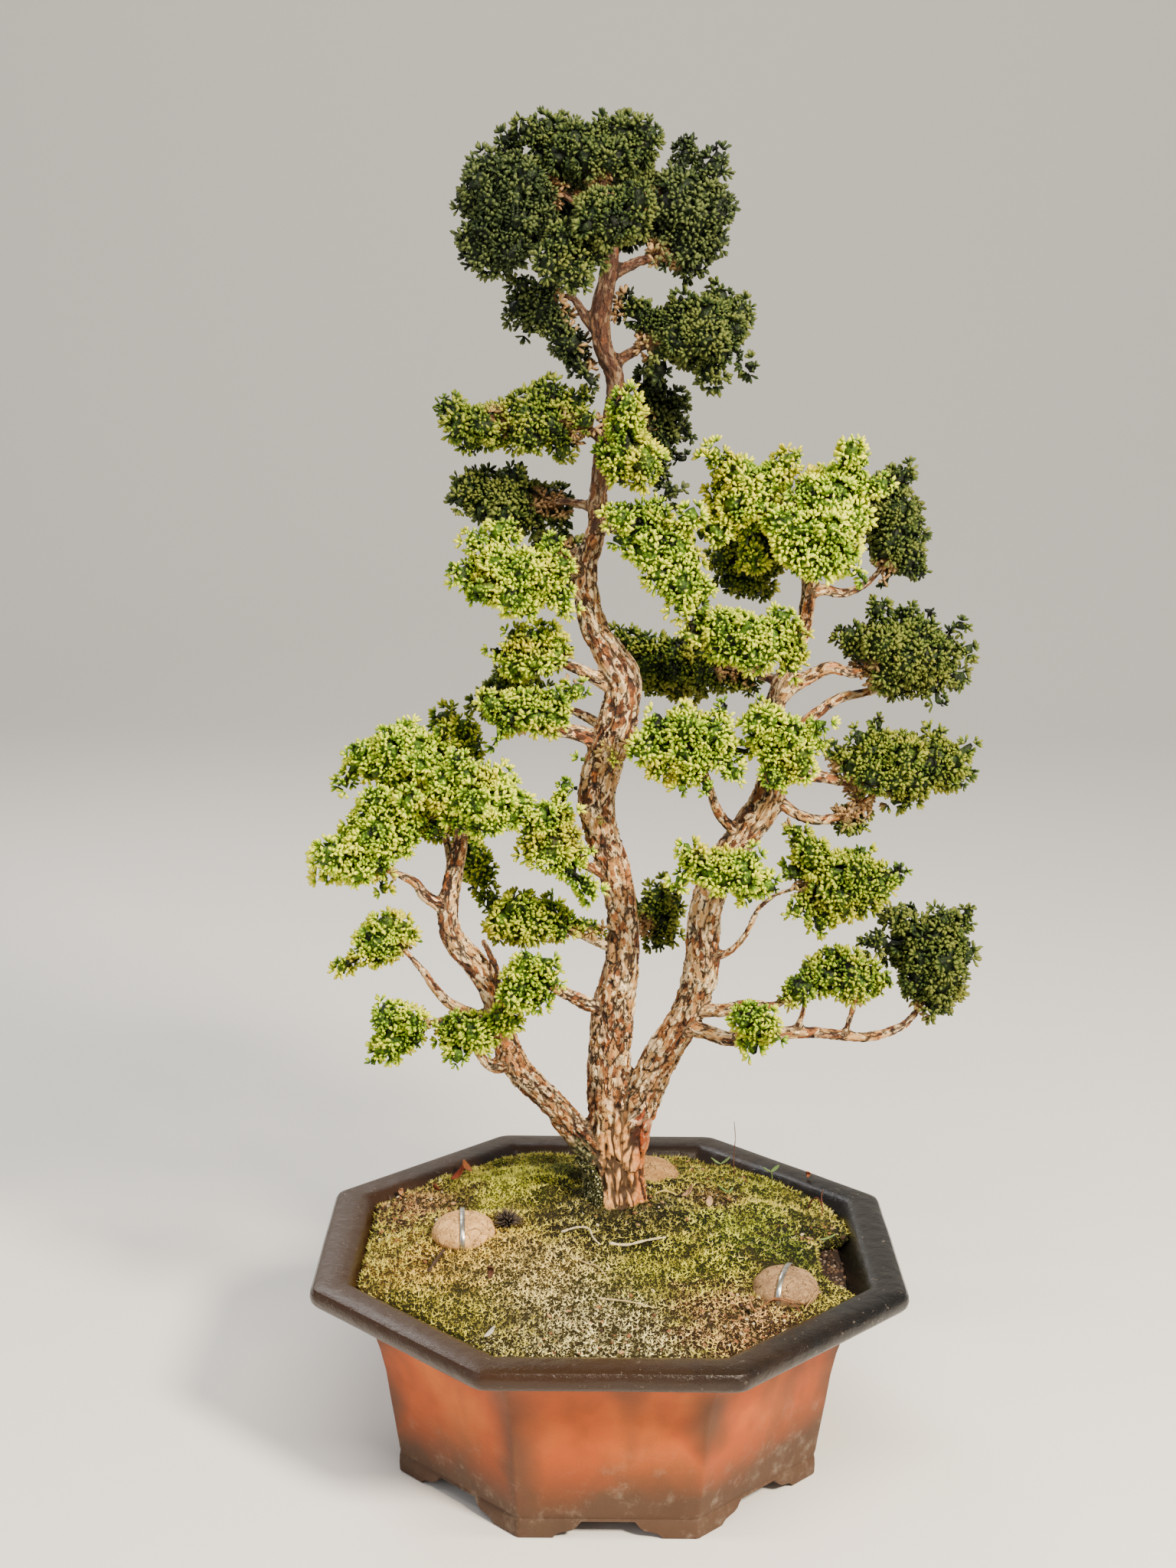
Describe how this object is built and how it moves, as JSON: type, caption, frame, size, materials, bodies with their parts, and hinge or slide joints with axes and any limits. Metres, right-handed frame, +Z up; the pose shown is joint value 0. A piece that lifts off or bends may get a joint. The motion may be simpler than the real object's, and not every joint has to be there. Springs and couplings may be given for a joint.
{
  "type": "dwarf hinoki cypress bonsai in an octagonal clay pot",
  "caption": "Multi-stemmed dwarf conifer bonsai with crested foliage pads, a mossy soil dome and an octagonal unglazed pot on bracket feet.",
  "frame": {"origin": "middle of the whole outline seen from above, on the surface the pot's feet stand on", "axes": "+Z up along the trunk; -Y towards the side the tree is shown from; +X to the right seen from that side"},
  "size_m": [0.4542, 0.4, 0.9007],
  "materials": {
    "pot_clay": "unglazed terracotta, smoke-stained, with a dark rim",
    "bark": "flaky fissured bark",
    "foliage": "matte scale foliage",
    "moss": "dry moss",
    "trunk_moss": "dark moss",
    "dark_moss": "dead moss",
    "soil": "matte",
    "grit": "matte",
    "plastic_mesh": "matte",
    "wire": "satin",
    "pin_metal": "satin",
    "cake": "pressed fibre, matte"
  },
  "bodies": {
    "root": {"pot": "pot_clay", "drain_screen_left": "plastic_mesh", "drain_screen_right": "plastic_mesh", "screen_clip_left": "wire", "screen_clip_right": "wire", "drainage_layer": "grit", "soil": "soil", "tie_wire": "wire", "tree_wood": "bark", "moss_carpet": "moss", "moss_sleeve": "trunk_moss", "fertiliser_cake_left": "cake", "fertiliser_cake_right": "cake", "fertiliser_cake_back": "cake", "cake_pin_left": "pin_metal", "cake_pin_right": "pin_metal", "dark_tuft": "dark_moss", "foliage_apex_back": "foliage", "foliage_apex_front": "foliage", "foliage_apex_left": "foliage", "foliage_apex_right": "foliage", "foliage_apex_top": "foliage", "foliage_crown_back": "foliage", "foliage_crown_front": "foliage", "foliage_crown_left": "foliage", "foliage_crown_right": "foliage", "foliage_elbow_left_back": "foliage", "foliage_elbow_left_low": "foliage", "foliage_elbow_left_top": "foliage", "foliage_far_middle": "foliage", "foliage_far_upper": "foliage", "foliage_heart_left": "foliage", "foliage_heart_right": "foliage", "foliage_left_crown_back": "foliage", "foliage_left_crown_front": "foliage", "foliage_left_crown_inner": "foliage", "foliage_left_crown_side": "foliage", "foliage_left_crown_top": "foliage", "foliage_left_low_back": "foliage", "foliage_left_low_end": "foliage", "foliage_left_low_front": "foliage", "foliage_left_low_heart": "foliage", "foliage_left_low_tip": "foliage", "foliage_low_front": "foliage", "foliage_low_right": "foliage", "foliage_middle_left": "foliage", "foliage_middle_right": "foliage", "foliage_neck_back": "foliage", "foliage_neck_front": "foliage", "foliage_neck_left": "foliage", "foliage_neck_right": "foliage", "foliage_reach_inner": "foliage", "foliage_reach_middle": "foliage", "foliage_reach_tip": "foliage", "foliage_shade_back": "foliage", "foliage_shade_left": "foliage", "foliage_stem_back": "foliage", "foliage_stem_front": "foliage", "foliage_trunk_back": "foliage", "foliage_upper_left": "foliage"}
  },
  "joints": []
}
